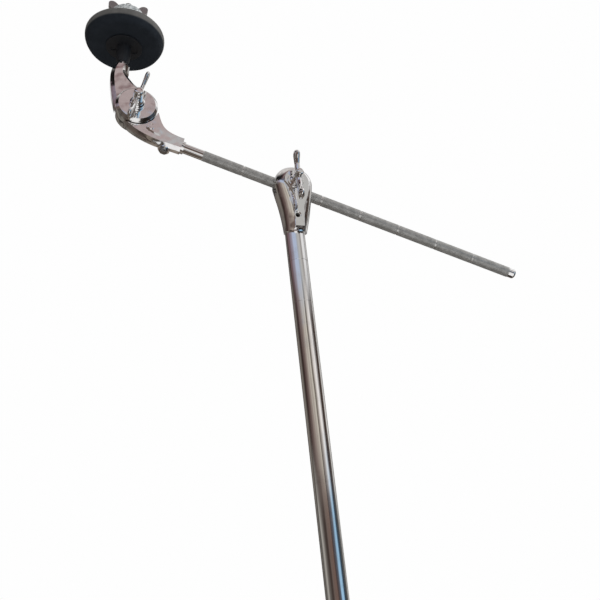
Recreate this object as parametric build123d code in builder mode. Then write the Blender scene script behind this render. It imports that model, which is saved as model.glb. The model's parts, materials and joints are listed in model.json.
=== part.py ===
from build123d import *
import os
from math import atan2, cos, degrees, hypot, radians, sin

os.makedirs("parts", exist_ok=True)

# Cymbal boom stand. +Z up, origin on the floor under the tube axis, millimetres and degrees.
# The boom rises towards -X, the wing bolts face -Y.

# ---------------------------------------------------------------- driving dimensions
FIT = 0.05               # radial running clearance
GAP = 0.5                # side clearance between moving faces

# stacked tubes
BASE_R = 14.3
MIDDLE_R = 12.7
UPPER_R = 11.1
WALL = 1.2
BASE_Z = (62.0, 592.0)
MIDDLE_Z = (440.0, 876.0)
UPPER_Z = (700.0, 1347.0)
TUBE_RINGS = (1289.0, 1239.0)    # heights of the two score lines on the upper tube

# tripod
LEG_ANGLES = (180.0, 60.0, 300.0)
LEG_TOP = (36.0, 330.0)          # radius and height of a leg's upper pivot
LEG_END = (303.0, 15.0)
BRACE_ROOT = (34.0, 93.0)
BRACE_SHARE = 0.55               # where along the leg its brace is riveted
LEG_HALF = 10.5                  # half the width over a leg's two strips
LEG_STRIP = 2.5
LEG_WIDTH = 16.0
BRACE_HALF = 6.5
BRACE_STRIP = 2.0
BRACE_WIDTH = 13.0
PIN_R = 3.0
FOOT_R = 17.0
FOOT_H = 38.0

# boom head
PIVOT_X = 2.0
PIVOT_Z = 1385.0
BOOM_TILT = 20.5                 # rise of the boom above the horizontal
SLOT_HALF = 7.4
HOLDER_R = 17.0
TRUNNION_R = 8.0
HEAD_BOTTOM = -62.0              # below the pivot
TUBE_SEAT = -38.0
HEAD_FACE = 19.0                 # y of the raised tongue's face, towards the front
HEAD_TOP_R = 22.5                # round top of the housing, about a point just above the pivot
HEAD_TOP = (0.3, 1.5)
# housing from the pivot down: height, left, right, front, back, corner radius
HEAD_LEVELS = (
    (1.5, -22.2, 22.8, 17.2, 12.6, 11.0),
    (-13.0, -19.6, 20.8, 17.2, 12.6, 11.5),
    (-25.0, -17.5, 18.8, 17.0, 12.6, 12.0),
    (-38.0, -15.8, 16.4, 16.6, 12.6, 12.4),
    (-50.0, -14.7, 13.8, 15.2, 12.6, 12.6),
    (-62.0, -14.3, 11.2, 13.0, 12.6, 12.5),
)
HEAD_BACK_RISE = 7.0             # how much higher the rear of the housing's lower edge is
SCREW_Z = -44.8
SCREW_R = 2.8

# boom rod, distances from the pivot, positive towards the cymbal
ROD_R = 6.0
ROD_TIP_R = 5.8
ROD_PITCH = 48.3                 # between ring grooves
ROD_RING = 59.4                  # first ring groove on the cymbal side
ROD_KNURL = (-278.7, 107.7)
ROD_TIP = 167.0
ROD_CAP = -287.4

# cymbal tilter
TILTER_X = -174.5                # hinge of the tilter, from the boom pivot
TILTER_Z = 91.75
DISC_R = 23.5
REAR_DISC_R = 22.6
DISC_FRONT = -14.0               # y of the front disc's face
DISC_SEAM = -1.5
DISC_REAR = 10.0
ARM_FRONT = 9.0
ARM_BACK = 4.0
HORN_HALF = 8.6
SLEEVE_R = 7.2
SLEEVE_END = 130.0               # distance of the sleeve's mouth from the boom pivot
BOLT_R = 3.95

# cymbal seat, heights along the post from its root in the horn
POST_LEAN = 5.5
POST_ROOT = (-14.9, 60.0)        # from the tilter hinge
POST_R = 4.0
PAD_R = 46.3
PAD_Z = (31.5, 49.4)
PAD_BEVEL = (4.4, 9.0)           # the foam narrows towards its underside
FELT_R = 20.0
FELT_T = 16.3
POST_TIP = 99.0


# ---------------------------------------------------------------- planes
def front(x, z, y=0.0, turn=0.0):
    """Upright plane that faces -Y: local x is +X and local y is +Z, then turned about its normal."""
    turned = radians(turn)
    return Plane(origin=(x, y, z), x_dir=(cos(turned), 0, sin(turned)), z_dir=(0, -1, 0))


def radial(angle):
    """Upright plane through the tube axis: local x is the radius, local y is the height."""
    turned = radians(angle)
    return Plane(origin=(0, 0, 0), x_dir=(cos(turned), sin(turned), 0), z_dir=(sin(turned), -cos(turned), 0))


TILT = radians(BOOM_TILT)
LEAN = radians(POST_LEAN)
HINGE_X = PIVOT_X + TILTER_X
HINGE_Z = PIVOT_Z + TILTER_Z
POST_X = HINGE_X + POST_ROOT[0]
POST_Z = HINGE_Z + POST_ROOT[1]

# local x runs along the boom towards the cymbal, local y across it and up, the normal is +Y
boom_plane = Plane(origin=(PIVOT_X, 0, PIVOT_Z), x_dir=(-cos(TILT), 0, sin(TILT)), z_dir=(0, 1, 0))
# cross-section of the boom, looking from the pivot towards the cymbal
boom_section = Plane(origin=(PIVOT_X, 0, PIVOT_Z), x_dir=(0, -1, 0), z_dir=(-cos(TILT), 0, sin(TILT)))
# across the cymbal post, looking up along it
post_section = Plane(origin=(POST_X, 0, POST_Z), x_dir=(cos(LEAN), 0, -sin(LEAN)), z_dir=(sin(LEAN), 0, cos(LEAN)))
# along the cymbal post: local y runs up the post
post_plane = Plane(origin=(POST_X, 0, POST_Z), x_dir=(cos(LEAN), 0, -sin(LEAN)), z_dir=(0, -1, 0))

# the tilter's hinge as seen in the boom plane
HINGE_U = -TILTER_X * cos(TILT) + TILTER_Z * sin(TILT)
HINGE_V = TILTER_X * sin(TILT) + TILTER_Z * cos(TILT)


def save(piece, label):
    piece.part.label = label
    export_step(piece.part, f"parts/{label}.step")


# ---------------------------------------------------------------- repeated sub-parts
def round_tube(radius, span, rings=()):
    """Thin steel tube between two heights, with fine score lines around it."""
    with BuildPart() as tube:
        with BuildSketch(Plane.XY.offset(span[0])):
            Circle(radius)
            Circle(radius - WALL, mode=Mode.SUBTRACT)
        extrude(amount=span[1] - span[0])
        for height in rings:
            with BuildSketch(Plane.XZ):
                with Locations((radius, height)):
                    Rectangle(0.5, 1.0)
            revolve(axis=Axis.Z, mode=Mode.SUBTRACT)
    return tube


def wing_bolt(frame, shank_r, reach, neck=4.0, span=31.0, thick=4.6, boss=6.0):
    """Cast wing bolt: frame's normal points away from the clamped part, its local x along the wings."""
    root = frame.offset(neck - 4.0).origin
    blade = Plane(origin=root, x_dir=frame.x_dir, z_dir=-frame.y_dir)
    with BuildPart() as bolt:
        with BuildSketch(frame.offset(-reach)):
            Circle(shank_r)
        extrude(amount=reach)
        with BuildSketch(frame):
            Circle(7.2)
        extrude(amount=1.6)
        with BuildSketch(frame):
            Circle(boss)
        extrude(amount=neck + 14.4)
        top = bolt.faces().sort_by(Axis(frame.origin, frame.z_dir))[-1]
        fillet(top.edges(), 0.55 * boss)
        for side in (1, -1):
            with BuildSketch(blade):
                with BuildLine():
                    Spline((side * 3.0, 4.5), (side * 15.0, 5.5), (side * 25.0, 4.0), (side * span, 11.0),
                           (side * (span - 4.5), 18.0), (side * 16.0, 14.5), (side * 3.0, 13.0))
                    Line((side * 3.0, 13.0), (side * 3.0, 4.5))
                make_face()
            extrude(amount=thick / 2, both=True)
    return bolt


def tube_clamp(bottom, tube_r, bushing_r):
    """Height clamp on top of a tube: a split collar with two ears and a counterbore for its bushing."""
    outer = tube_r + 6.5
    with BuildPart() as clamp:
        with BuildSketch(Plane.XY.offset(bottom)):
            Circle(outer)
            with Locations((outer + 6, 0)):
                Rectangle(24, 19)
            Circle(tube_r, mode=Mode.SUBTRACT)
        extrude(amount=46)
        fillet(clamp.edges().filter_by(Axis.Z).group_by(Axis.X)[-1], 6)
        with BuildSketch(Plane.XY.offset(bottom + 32)):
            Circle(bushing_r)
        extrude(amount=14, mode=Mode.SUBTRACT)
        with BuildSketch(Plane.XY.offset(bottom)):
            with Locations((outer + 6, 0)):
                Rectangle(36, 3)
        extrude(amount=46, mode=Mode.SUBTRACT)
        with BuildSketch(front(0, 0)):
            with Locations((outer + 9, bottom + 23)):
                Circle(BOLT_R + FIT)
        extrude(amount=40, both=True, mode=Mode.SUBTRACT)
    return clamp


def bushing(bottom, outer_r, bore_r):
    """Nylon bushing that guides the tube above a clamp, with a small lip on top."""
    with BuildPart() as ring:
        with BuildSketch(Plane.XY.offset(bottom)):
            Circle(outer_r)
            Circle(bore_r, mode=Mode.SUBTRACT)
        extrude(amount=14)
        with BuildSketch(Plane.XY.offset(bottom + 14)):
            Circle(outer_r + 1.2)
            Circle(bore_r, mode=Mode.SUBTRACT)
        extrude(amount=2)
    return ring


def memory_lock(bottom, bore_r):
    """Split ring that marks a tube's height, with one ear pair for its key bolt."""
    outer = bore_r + 5.5
    with BuildPart() as ring:
        with BuildSketch(Plane.XY.offset(bottom)):
            Circle(outer)
            with Locations((outer + 4, 0)):
                Rectangle(18, 14)
            Circle(bore_r, mode=Mode.SUBTRACT)
        extrude(amount=18)
        fillet(ring.edges().filter_by(Axis.Z).group_by(Axis.X)[-1], 4)
        with BuildSketch(Plane.XY.offset(bottom)):
            with Locations((outer + 4, 0)):
                Rectangle(28, 2)
        extrude(amount=18, mode=Mode.SUBTRACT)
        with BuildSketch(front(0, 0)):
            with Locations((outer + 7, bottom + 9)):
                Circle(PIN_R)
        extrude(amount=30, both=True, mode=Mode.SUBTRACT)
    return ring


def key_bolt(frame, reach, head_height=5.0):
    """Square-headed key bolt with a round flange; frame's normal points out of the head."""
    with BuildPart() as bolt:
        with BuildSketch(frame.offset(-reach)):
            Circle(PIN_R)
        extrude(amount=reach)
        with BuildSketch(frame):
            Circle(5.0)
        extrude(amount=2.0)
        with BuildSketch(frame.offset(2.0)):
            Rectangle(5.6, 5.6)
        extrude(amount=head_height)
    return bolt


# ---------------------------------------------------------------- tripod
BRACKET_HALF = 13.0

base_tube = round_tube(BASE_R, BASE_Z)
save(base_tube, "base_tube")

with BuildPart() as base_plug:
    with BuildSketch(Plane.XY.offset(BASE_Z[0] - 6)):
        Circle(BASE_R)
    extrude(amount=6)
    with BuildSketch(Plane.XY.offset(BASE_Z[0])):
        Circle(BASE_R - WALL)
    extrude(amount=12)
    fillet(base_plug.edges().group_by(Axis.Z)[0], 3)
save(base_plug, "base_plug")


def hub_with_lugs(centre_z, half_height, outer_r, bore_r, pivot, lug_half, lug_r, pin_r):
    """Ring round the base tube with one lug for each leg or brace."""
    with BuildPart() as hub:
        with BuildSketch(Plane.XY.offset(centre_z - half_height)):
            Circle(outer_r)
        extrude(amount=2 * half_height)
        fillet(hub.edges().group_by(Axis.Z)[0], 2)
        fillet(hub.edges().group_by(Axis.Z)[-1], 2)
        for angle in LEG_ANGLES:
            with BuildSketch(radial(angle)):
                with Locations(((outer_r + pivot[0]) / 2 - 2, pivot[1])):
                    Rectangle(pivot[0] - outer_r + 4, 2 * lug_r)
                with Locations(pivot):
                    Circle(lug_r)
            extrude(amount=lug_half, both=True)
        for angle in LEG_ANGLES:
            with BuildSketch(radial(angle)):
                with Locations(pivot):
                    Circle(pin_r)
            extrude(amount=lug_half + 1, both=True, mode=Mode.SUBTRACT)
        with BuildSketch(Plane.XY.offset(centre_z - half_height - 1)):
            Circle(bore_r)
        extrude(amount=2 * half_height + 2, mode=Mode.SUBTRACT)
    return hub


lower_bracket = hub_with_lugs(BRACE_ROOT[1], BRACKET_HALF, 20, BASE_R, BRACE_ROOT, 4.0, 7.0, PIN_R)
save(lower_bracket, "lower_bracket")

collar = hub_with_lugs(LEG_TOP[1], 24.0, 21, BASE_R + FIT, LEG_TOP, 7.5, 9.0, PIN_R + 0.5)
COLLAR_BOSS = 31.0
with BuildPart() as tripod_collar:
    add(collar.part)
    with BuildSketch(Plane(origin=(18, 0, LEG_TOP[1]), x_dir=(0, 1, 0), z_dir=(1, 0, 0))):
        Circle(9)
    extrude(amount=COLLAR_BOSS - 18)
    with BuildSketch(Plane(origin=(BASE_R - 2, 0, LEG_TOP[1]), x_dir=(0, 1, 0), z_dir=(1, 0, 0))):
        Circle(BOLT_R + FIT)
    extrude(amount=30, mode=Mode.SUBTRACT)
    with BuildSketch(Plane.XY.offset(LEG_TOP[1] - 12)):
        Circle(BASE_R + FIT)
    extrude(amount=24, mode=Mode.SUBTRACT)
save(tripod_collar, "tripod_collar")

collar_wing_bolt = wing_bolt(
    Plane(origin=(COLLAR_BOSS, 0, LEG_TOP[1]), x_dir=(0, 0.26, 0.966), z_dir=(1, 0, 0)), BOLT_R, 16.0)
save(collar_wing_bolt, "collar_wing_bolt")


def across(points, half, radius, head_start):
    """One headed pin across each leg plane, at a radius and height."""
    with BuildPart() as bars:
        for angle in LEG_ANGLES:
            with BuildSketch(radial(angle)):
                with Locations(points):
                    Circle(radius)
            extrude(amount=half, both=True)
            for side in (1, -1):
                with BuildSketch(radial(angle).offset(side * head_start)):
                    with Locations(points):
                        Circle(radius + 1.8)
                extrude(amount=side * (half - head_start))
    return bars


leg_pins = across(LEG_TOP, LEG_HALF + 2.2, PIN_R + 0.5, LEG_HALF + 0.2)
save(leg_pins, "leg_pins")
brace_pins = across(BRACE_ROOT, BRACE_HALF + 1.2, PIN_R, BRACE_HALF + 0.2)
save(brace_pins, "brace_pins")

leg_run = (LEG_END[0] - LEG_TOP[0], LEG_END[1] - LEG_TOP[1])
leg_length = hypot(*leg_run)
leg_slope = degrees(atan2(leg_run[1], leg_run[0]))


def along_leg(share):
    return (LEG_TOP[0] + share * leg_run[0], LEG_TOP[1] + share * leg_run[1])


rivet_at = along_leg(BRACE_SHARE)
brace_run = (rivet_at[0] - BRACE_ROOT[0], rivet_at[1] - BRACE_ROOT[1])
brace_length = hypot(*brace_run)
brace_slope = degrees(atan2(brace_run[1], brace_run[0]))

for number, angle in enumerate(LEG_ANGLES, start=1):
    plane = radial(angle)

    with BuildPart() as leg:
        with BuildSketch(plane):
            with Locations(Location(along_leg(0.5), leg_slope)):
                SlotCenterToCenter(leg_length, LEG_WIDTH)
        extrude(amount=LEG_HALF, both=True)
        with BuildSketch(plane):
            with Locations(Location(along_leg(0.5), leg_slope)):
                Rectangle(leg_length + 40, LEG_WIDTH + 10)
        extrude(amount=LEG_HALF - LEG_STRIP, both=True, mode=Mode.SUBTRACT)
        with BuildSketch(plane):
            with Locations(along_leg(0.82), along_leg(0.97)):
                Circle(4.5)
        extrude(amount=LEG_HALF - 0.5, both=True)
        with BuildSketch(plane):
            with Locations(LEG_TOP):
                Circle(PIN_R + 0.5 + FIT)
            with Locations(rivet_at):
                Circle(PIN_R)
        extrude(amount=LEG_HALF + 1, both=True, mode=Mode.SUBTRACT)
    save(leg, f"leg_{number}")

    with BuildPart() as rivet:
        with BuildSketch(plane):
            with Locations(rivet_at):
                Circle(PIN_R)
        extrude(amount=LEG_HALF, both=True)
        with BuildSketch(plane.offset(LEG_HALF)):
            with Locations(rivet_at):
                Circle(PIN_R + 2)
        extrude(amount=1.8)
        with BuildSketch(plane.offset(-LEG_HALF)):
            with Locations(rivet_at):
                Circle(PIN_R + 2)
        extrude(amount=-1.8)
        with BuildSketch(plane):
            with Locations(rivet_at):
                Rectangle(20, 20)
        extrude(amount=BRACE_HALF + GAP, both=True, mode=Mode.SUBTRACT)
    save(rivet, f"leg_rivet_{number}")

    with BuildPart() as foot:
        with BuildSketch(plane):
            with BuildLine():
                Polyline((LEG_END[0], 0), (LEG_END[0] + FOOT_R - 3, 0), (LEG_END[0] + FOOT_R, 3),
                         (LEG_END[0] + FOOT_R, 15), (LEG_END[0] + FOOT_R - 2.5, FOOT_H - 6))
                Line((LEG_END[0] + FOOT_R - 2.5, FOOT_H - 6), (LEG_END[0] + FOOT_R - 8, FOOT_H))
                Line((LEG_END[0] + FOOT_R - 8, FOOT_H), (LEG_END[0], FOOT_H))
                Line((LEG_END[0], FOOT_H), (LEG_END[0], 0))
            make_face()
        foot_axis = Axis((LEG_END[0] * cos(radians(angle)), LEG_END[0] * sin(radians(angle)), 0), (0, 0, 1))
        revolve(axis=foot_axis)
        add(leg.part, mode=Mode.SUBTRACT)
    save(foot, f"foot_{number}")

    with BuildPart() as brace:
        middle = (BRACE_ROOT[0] + brace_run[0] / 2, BRACE_ROOT[1] + brace_run[1] / 2)
        with BuildSketch(plane):
            with Locations(Location(middle, brace_slope)):
                SlotCenterToCenter(brace_length, BRACE_WIDTH)
        extrude(amount=BRACE_HALF, both=True)
        with BuildSketch(plane):
            with Locations(Location(middle, brace_slope)):
                Rectangle(brace_length + 40, BRACE_WIDTH + 10)
        extrude(amount=BRACE_HALF - BRACE_STRIP, both=True, mode=Mode.SUBTRACT)
        with BuildSketch(plane):
            with Locations(middle, rivet_at):
                Circle(3.4)
        extrude(amount=BRACE_HALF, both=True)
        with BuildSketch(plane):
            with Locations(BRACE_ROOT):
                Circle(PIN_R + FIT)
        extrude(amount=BRACE_HALF + 1, both=True, mode=Mode.SUBTRACT)
    save(brace, f"brace_{number}")

# ---------------------------------------------------------------- height clamps, tubes and memory locks
BASE_CLAMP_Z = BASE_Z[1] - 32
UPPER_CLAMP_Z = MIDDLE_Z[1] - 32
CLAMP_BOLT_Z = 23.0
MIDDLE_LOCK_Z = 660.0
UPPER_LOCK_Z = UPPER_CLAMP_Z + 51


def clamp_set(name, bottom, tube_r, inner_r):
    """Clamp, bushing and wing bolt; the bolt crosses the ears along Y."""
    ears = tube_r + 6.5 + 9
    clamp = tube_clamp(bottom, tube_r, tube_r + 2.4)
    save(clamp, f"{name}_clamp")
    ring = bushing(bottom + 32, tube_r + 2.4, inner_r + FIT)
    save(ring, f"{name}_bushing")
    bolt = wing_bolt(front(ears, bottom + CLAMP_BOLT_Z, -9.5, 75), BOLT_R, 24.0, neck=14.0)
    save(bolt, f"{name}_clamp_wing_bolt")
    with BuildPart() as nut:
        with BuildSketch(front(ears, bottom + CLAMP_BOLT_Z, 9.5)):
            RegularPolygon(7.2, 6)
            Circle(BOLT_R + FIT, mode=Mode.SUBTRACT)
        extrude(amount=-5.5)
    save(nut, f"{name}_clamp_nut")


clamp_set("base", BASE_CLAMP_Z, BASE_R, MIDDLE_R)
clamp_set("upper", UPPER_CLAMP_Z, MIDDLE_R, UPPER_R)

middle_tube = round_tube(MIDDLE_R, MIDDLE_Z)
save(middle_tube, "middle_tube")
upper_tube = round_tube(UPPER_R, UPPER_Z, TUBE_RINGS)
save(upper_tube, "upper_tube")

middle_lock = memory_lock(MIDDLE_LOCK_Z, MIDDLE_R)
save(middle_lock, "middle_lock")
middle_lock_bolt = key_bolt(front(MIDDLE_R + 12.5, MIDDLE_LOCK_Z + 9, -7), 14.5)
save(middle_lock_bolt, "middle_lock_bolt")
upper_lock = memory_lock(UPPER_LOCK_Z, UPPER_R + FIT)
save(upper_lock, "upper_lock")
upper_lock_bolt = key_bolt(front(UPPER_R + FIT + 12.5, UPPER_LOCK_Z + 9, -7), 14.5)
save(upper_lock_bolt, "upper_lock_bolt")

# ---------------------------------------------------------------- boom head
head = front(PIVOT_X, PIVOT_Z)
tube_x = -PIVOT_X                # the tube axis as seen from the pivot

with BuildPart() as tongue:
    # raised flat panel on the face, narrow over the screw and wide round the bolt
    with BuildSketch(head.offset(HEAD_FACE)):
        with BuildLine():
            Polyline((-6.6, -60.5), (-6.4, -52), (-5.6, -40))
            Spline((-5.6, -40), (-2.9, -32), (-3.4, -21), (-7.5, -9.5), (-13.5, -1))
            ThreePointArc((-13.5, -1), (0, 14.5), (15.2, -4))
            Spline((15.2, -4), (13.0, -18), (7.4, -33), (5.6, -46), (4.2, -60.5))
            Line((4.2, -60.5), (-6.6, -60.5))
        make_face()
    extrude(amount=-(HEAD_FACE - SLOT_HALF))
    chamfer(tongue.faces().sort_by(Axis.Y)[0].edges().sort_by(Axis.Z)[0], 1.8)
    fillet(tongue.faces().sort_by(Axis.Y)[0].edges().sort_by(Axis.Z)[1:], 0.8)

with BuildPart() as boom_casting:
    for height, left, right, face, back, corner in HEAD_LEVELS:
        with BuildSketch(Plane(origin=(PIVOT_X, 0, PIVOT_Z + height), x_dir=(1, 0, 0), z_dir=(0, 0, 1))):
            with Locations(((left + right) / 2, (back - face) / 2)):
                RectangleRounded(right - left, back + face, corner)
    loft()
    # round top, the same section swept half a turn
    top_level = HEAD_LEVELS[0]
    top_at = Plane(origin=(PIVOT_X + HEAD_TOP[0], 0, PIVOT_Z + HEAD_TOP[1]), x_dir=(1, 0, 0), z_dir=(0, 0, 1))
    with BuildSketch(top_at):
        with Locations((0, (top_level[4] - top_level[3]) / 2)):
            RectangleRounded(2 * HEAD_TOP_R, top_level[3] + top_level[4], top_level[5])
        with Locations((-HEAD_TOP_R, 0)):
            Rectangle(2 * HEAD_TOP_R, 4 * HEAD_TOP_R, mode=Mode.SUBTRACT)
    revolve(axis=Axis(top_at.origin, (0, -1, 0)), revolution_arc=180)
    # lower edge rises towards the rear
    with BuildSketch(Plane(origin=(PIVOT_X, 0, PIVOT_Z), x_dir=(0, 1, 0), z_dir=(1, 0, 0))):
        with BuildLine():
            Polyline((-13.0, HEAD_BOTTOM), (13.0, HEAD_BOTTOM + HEAD_BACK_RISE), (30.0, HEAD_BOTTOM + 11.6),
                     (30.0, HEAD_BOTTOM - 9), (-13.0, HEAD_BOTTOM - 9), close=True)
        make_face()
    extrude(amount=40, both=True, mode=Mode.SUBTRACT)
    add(tongue.part)
    # slot for the boom and its holder
    with BuildSketch(head):
        with BuildLine():
            Polyline((-45, -9.5), (0, -9.5), (8, -21), (34, -54), (60, -54), (60, 45), (-45, 45), close=True)
        make_face()
        Circle(HOLDER_R + 0.4)
    extrude(amount=SLOT_HALF, both=True, mode=Mode.SUBTRACT)
    # trunnion seats
    with BuildSketch(head):
        Circle(TRUNNION_R + FIT)
    extrude(amount=11, both=True, mode=Mode.SUBTRACT)
    with BuildSketch(head):
        Circle(BOLT_R + FIT)
    extrude(amount=30, mode=Mode.SUBTRACT)
    # recess for the clamp screw, and its hole to the tube
    with BuildSketch(head.offset(HEAD_FACE - 1.0)):
        with Locations((tube_x, SCREW_Z)):
            Circle(SCREW_R + 1.3)
    extrude(amount=6.6, mode=Mode.SUBTRACT)
    with BuildSketch(head):
        with Locations((tube_x, SCREW_Z)):
            Circle(SCREW_R)
    extrude(amount=30, mode=Mode.SUBTRACT)
    # tube socket
    with BuildSketch(Plane.XY.offset(PIVOT_Z + HEAD_BOTTOM - 1)):
        Circle(UPPER_R)
    extrude(amount=TUBE_SEAT - HEAD_BOTTOM + 1, mode=Mode.SUBTRACT)
save(boom_casting, "boom_casting")

with BuildPart() as head_screw:
    with BuildSketch(head.offset(UPPER_R)):
        with Locations((tube_x, SCREW_Z)):
            Circle(SCREW_R)
    extrude(amount=5.4)
    with BuildSketch(head.offset(UPPER_R + 2.0)):
        with Locations((tube_x, SCREW_Z)):
            RegularPolygon(1.9, 6)
    extrude(amount=3.4, mode=Mode.SUBTRACT)
save(head_screw, "head_screw")


def rod_holder(side):
    """Half of the drum that grips the boom, with its trunnion; side is 1 in front and -1 behind."""
    with BuildPart() as half:
        with BuildSketch(head.offset(side * 0.25)):
            Circle(HOLDER_R)
        extrude(amount=side * (SLOT_HALF - 0.55))
        with BuildSketch(head.offset(side * (SLOT_HALF - 0.3))):
            Circle(TRUNNION_R)
        extrude(amount=side * 3.6)
        with BuildSketch(boom_section.offset(-40)):
            Circle(ROD_R + FIT)
        extrude(amount=80, mode=Mode.SUBTRACT)
    return half


rod_holder_front = rod_holder(1)
save(rod_holder_front, "rod_holder_front")
rod_holder_rear = rod_holder(-1)
save(rod_holder_rear, "rod_holder_rear")

with BuildPart() as boom_washer:
    with BuildSketch(head.offset(HEAD_FACE)):
        Circle(9.4)
        Circle(BOLT_R + FIT, mode=Mode.SUBTRACT)
    extrude(amount=1.6)
save(boom_washer, "boom_washer")

boom_wing_bolt = wing_bolt(front(PIVOT_X, PIVOT_Z, -HEAD_FACE - 1.7, 88), BOLT_R, 9.4, boss=4.6)
save(boom_wing_bolt, "boom_wing_bolt")

# ---------------------------------------------------------------- boom rod
RING_COUNT = 8
RING_HALF = 0.6
RING_DEPTH = 0.5
rings = [ROD_RING + ROD_PITCH - number * ROD_PITCH for number in range(1, RING_COUNT)]
profile = [(ROD_KNURL[0], 0), (ROD_KNURL[0], ROD_R)]
for place in reversed(rings):
    profile += [(place - RING_HALF, ROD_R), (place - RING_HALF, ROD_R - RING_DEPTH)]
    profile += [(place + RING_HALF, ROD_R - RING_DEPTH), (place + RING_HALF, ROD_R)]
profile += [(ROD_KNURL[1], ROD_R), (ROD_KNURL[1], ROD_TIP_R), (ROD_TIP, ROD_TIP_R), (ROD_TIP, 0)]

boom_axis = Axis(boom_plane.origin, boom_plane.x_dir)
with BuildPart() as boom_rod:
    with BuildSketch(boom_plane):
        with BuildLine():
            Polyline(*profile, close=True)
        make_face()
    revolve(axis=boom_axis)
save(boom_rod, "boom_rod")

with BuildPart() as rod_end_cap:
    with BuildSketch(boom_section.offset(ROD_KNURL[0])):
        Circle(ROD_R - 0.5)
    extrude(amount=ROD_CAP - ROD_KNURL[0])
    fillet(rod_end_cap.faces().sort_by(Axis((0, 0, 0), boom_plane.x_dir))[0].edges(), 2.5)
save(rod_end_cap, "rod_end_cap")

# ---------------------------------------------------------------- cymbal tilter, lower arm
hinge = front(HINGE_X, HINGE_Z)
SLOT_R = DISC_R + 0.9
PANEL_FACE = -ARM_FRONT - 1.7
BADGE = (171.9, 4.7)
KEY_U = 150.5
KEY_SEAT = 12.4                  # depth of the key bolt's seat below the boom axis

with BuildPart() as lower_arm:
    with BuildSketch(boom_plane.offset(-ARM_FRONT)):
        with BuildLine():
            Spline((170.2, 27.0), (166.2, 20.6), (162.9, 16.0), (157.3, 10.6), (150.0, 7.6), (133.0, 6.6))
            Line((133.0, 6.6), (133.0, -10.4))
            Spline((133.0, -10.4), (146.0, -11.2), (160.0, -11.8), (175.0, -10.7), (186.0, -8.5), (194.5, -5.6),
                   (200.0, -2.4))
            Line((200.0, -2.4), (204.0, 4.2))
            Polyline((204.0, 4.2), (196.0, 25.0), (170.2, 27.0))
        make_face()
    extrude(amount=ARM_FRONT + ARM_BACK)
    lower_edges = lower_arm.edges().filter_by(lambda e: e.length > 40).sort_by(Axis((0, 0, 0), boom_plane.y_dir))
    chamfer(lower_edges[:2], 3.8)
    # room for the front disc
    with BuildSketch(hinge.offset(-DISC_SEAM - 3.0)):
        Circle(SLOT_R)
    extrude(amount=20, mode=Mode.SUBTRACT)
    with BuildSketch(hinge.offset(DISC_SEAM)):
        Circle(REAR_DISC_R)
    extrude(amount=-(DISC_REAR + DISC_SEAM))
    # raised panel beside the hinge
    with BuildSketch(hinge.offset(ARM_FRONT - 0.5)):
        with BuildLine():
            corners = [(176.6, 2.0), (176.8, 8.5), (171.8, 13.8), (165.6, 15.4), (160.8, 7.6), (158.6, -1.6), (166.7, -1.2)]
            Polyline(*[(HINGE_U * cos(TILT) - u * cos(TILT) + (v - HINGE_V) * sin(TILT),
                        (u - HINGE_U) * sin(TILT) + (v - HINGE_V) * cos(TILT)) for u, v in corners], close=True)
        make_face()
        Circle(SLOT_R + 0.8, mode=Mode.SUBTRACT)
    extrude(amount=2.2)
    # sleeve over the boom, and the boss of its key bolt
    with BuildSketch(boom_section.offset(SLEEVE_END)):
        Circle(SLEEVE_R)
    extrude(amount=40)
    with BuildSketch(Plane(origin=boom_plane.from_local_coords((KEY_U, -4, 0)), x_dir=(0, 1, 0),
                           z_dir=-boom_plane.y_dir)):
        Circle(6.8)
    extrude(amount=KEY_SEAT - 4.0)
    with BuildSketch(boom_section.offset(SLEEVE_END - 1)):
        Circle(ROD_TIP_R + FIT)
    extrude(amount=ROD_TIP + 1.0 - SLEEVE_END + 1, mode=Mode.SUBTRACT)
    with BuildSketch(Plane(origin=boom_plane.from_local_coords((KEY_U, 0, 0)), x_dir=(0, 1, 0),
                           z_dir=-boom_plane.y_dir)):
        Circle(PIN_R)
    extrude(amount=20, mode=Mode.SUBTRACT)
    with BuildSketch(hinge):
        Circle(BOLT_R + FIT)
    extrude(amount=30, both=True, mode=Mode.SUBTRACT)
save(lower_arm, "lower_arm")

with BuildPart() as arm_badge:
    badge_at = boom_plane.from_local_coords((BADGE[0], BADGE[1], 0))
    with BuildSketch(front(badge_at.X, badge_at.Z, PANEL_FACE)):
        Circle(3.9)
    extrude(amount=0.9)
    with BuildSketch(front(badge_at.X, badge_at.Z, PANEL_FACE - 0.5)):
        Circle(2.9)
        Circle(1.9, mode=Mode.SUBTRACT)
    extrude(amount=2, mode=Mode.SUBTRACT)
save(arm_badge, "arm_badge")

rod_key_bolt = key_bolt(
    Plane(origin=boom_plane.from_local_coords((KEY_U, -KEY_SEAT, 0)), x_dir=(0, 1, 0), z_dir=-boom_plane.y_dir),
    KEY_SEAT - ROD_R + 0.1, head_height=1.6)
save(rod_key_bolt, "rod_key_bolt")


# ---------------------------------------------------------------- cymbal tilter, hinge parts
TEETH = 24


def ratchet(start_y, toward):
    """Toothed ring on a disc's inner face; toward is the way its teeth point, 1 for the front."""
    with BuildPart() as ring:
        with BuildSketch(hinge.offset(-start_y)):
            Circle(18)
            Circle(10, mode=Mode.SUBTRACT)
        extrude(amount=toward * 0.7)
        with BuildSketch(hinge.offset(-start_y + toward * 0.7)):
            with PolarLocations(14.5, TEETH):
                Rectangle(6.0, 1.8)
        extrude(amount=toward * 0.4)
    return ring


lower_ratchet = ratchet(-DISC_SEAM, 1)
save(lower_ratchet, "lower_ratchet")
upper_ratchet = ratchet(DISC_SEAM, -1)
save(upper_ratchet, "upper_ratchet")

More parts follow.
